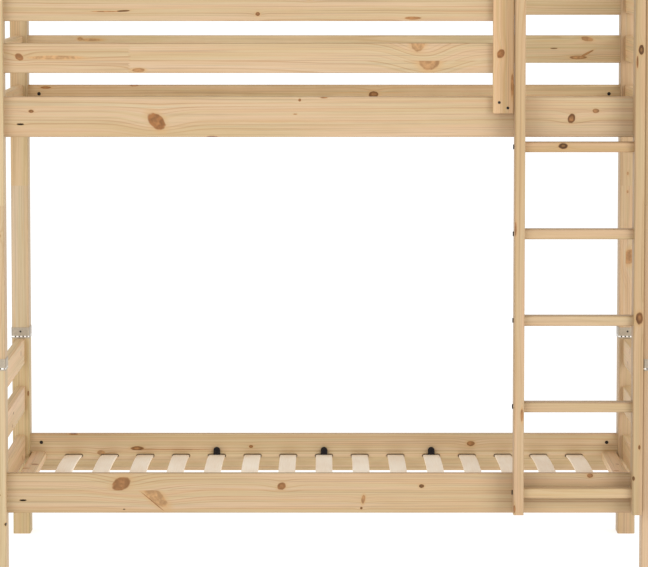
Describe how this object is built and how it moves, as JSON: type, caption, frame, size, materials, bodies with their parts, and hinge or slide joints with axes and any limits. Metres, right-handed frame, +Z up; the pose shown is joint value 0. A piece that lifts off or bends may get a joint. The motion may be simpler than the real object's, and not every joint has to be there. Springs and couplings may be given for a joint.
{
  "type": "bunk bed",
  "caption": "Solid pine bunk bed: two slatted beds stacked on extension posts with steel collars, guard boards round the top and a fixed ladder at the front.",
  "frame": {"origin": "on the floor, in the middle of the whole object's footprint", "axes": "+X along the bed to the right seen from the ladder side, +Y from the ladder side to the wall side, +Z up"},
  "size_m": [2.1196, 1.1248, 1.874],
  "materials": {
    "pine": "untreated planed pine with knots",
    "slat_birch": "planed pale birch",
    "dowel_beech": "fluted beech",
    "clip_plastic": "moulded black plastic",
    "collar_steel": "dull zinc plated sheet",
    "zinc_steel": "zinc plated",
    "dark_steel": "black oxide"
  },
  "bodies": {
    "lower_bed": {"lower_post_front_left": "pine", "lower_post_front_right": "pine", "lower_post_rear_left": "pine", "lower_post_rear_right": "pine", "lower_rail_front": "pine", "lower_rail_rear": "pine", "lower_end_board_left_bottom": "pine", "lower_end_board_left_middle": "pine", "lower_end_board_left_top": "pine", "lower_end_board_right_bottom": "pine", "lower_end_board_right_middle": "pine", "lower_end_board_right_top": "pine", "lower_cross_bar_left": "pine", "lower_cross_bar_right": "pine", "lower_slats": "slat_birch", "lower_slat_clips": "clip_plastic", "lower_rail_bolts": "zinc_steel", "lower_barrel_nuts": "dark_steel", "lower_frame_dowels": "dowel_beech", "joint_pins": "zinc_steel"},
    "upper_bed": {"extension_post_front_left": "pine", "extension_post_front_right": "pine", "extension_post_rear_left": "pine", "extension_post_rear_right": "pine", "upper_post_front_left": "pine", "upper_post_front_right": "pine", "upper_post_rear_left": "pine", "upper_post_rear_right": "pine", "upper_rail_front": "pine", "upper_rail_rear": "pine", "upper_end_board_left_bottom": "pine", "upper_end_board_left_middle": "pine", "upper_end_board_left_top": "pine", "upper_end_board_right_bottom": "pine", "upper_end_board_right_middle": "pine", "upper_end_board_right_top": "pine", "upper_cross_bar_left": "pine", "upper_cross_bar_right": "pine", "upper_slats": "slat_birch", "upper_slat_clips": "clip_plastic", "upper_rail_bolts": "zinc_steel", "upper_barrel_nuts": "dark_steel", "upper_frame_dowels": "dowel_beech", "seam_dowels": "dowel_beech", "post_collars": "collar_steel", "collar_screws": "dark_steel", "guard_board_front_lower": "pine", "guard_board_front_upper": "pine", "guard_board_rear_lower": "pine", "guard_board_rear_upper": "pine", "guard_upright": "pine", "ladder_stile_left": "pine", "ladder_stile_right": "pine", "ladder_rung_1": "pine", "ladder_rung_2": "pine", "ladder_rung_3": "pine", "ladder_rung_4": "pine", "ladder_rung_5": "pine", "rung_bolts": "dark_steel", "frame_screws": "dark_steel"}
  },
  "joints": [
    {"name": "upper_bed_lift", "type": "slide", "parent": "lower_bed", "child": "upper_bed", "axis": [0, 0, 1], "range_m": [0, 0.08]}
  ]
}
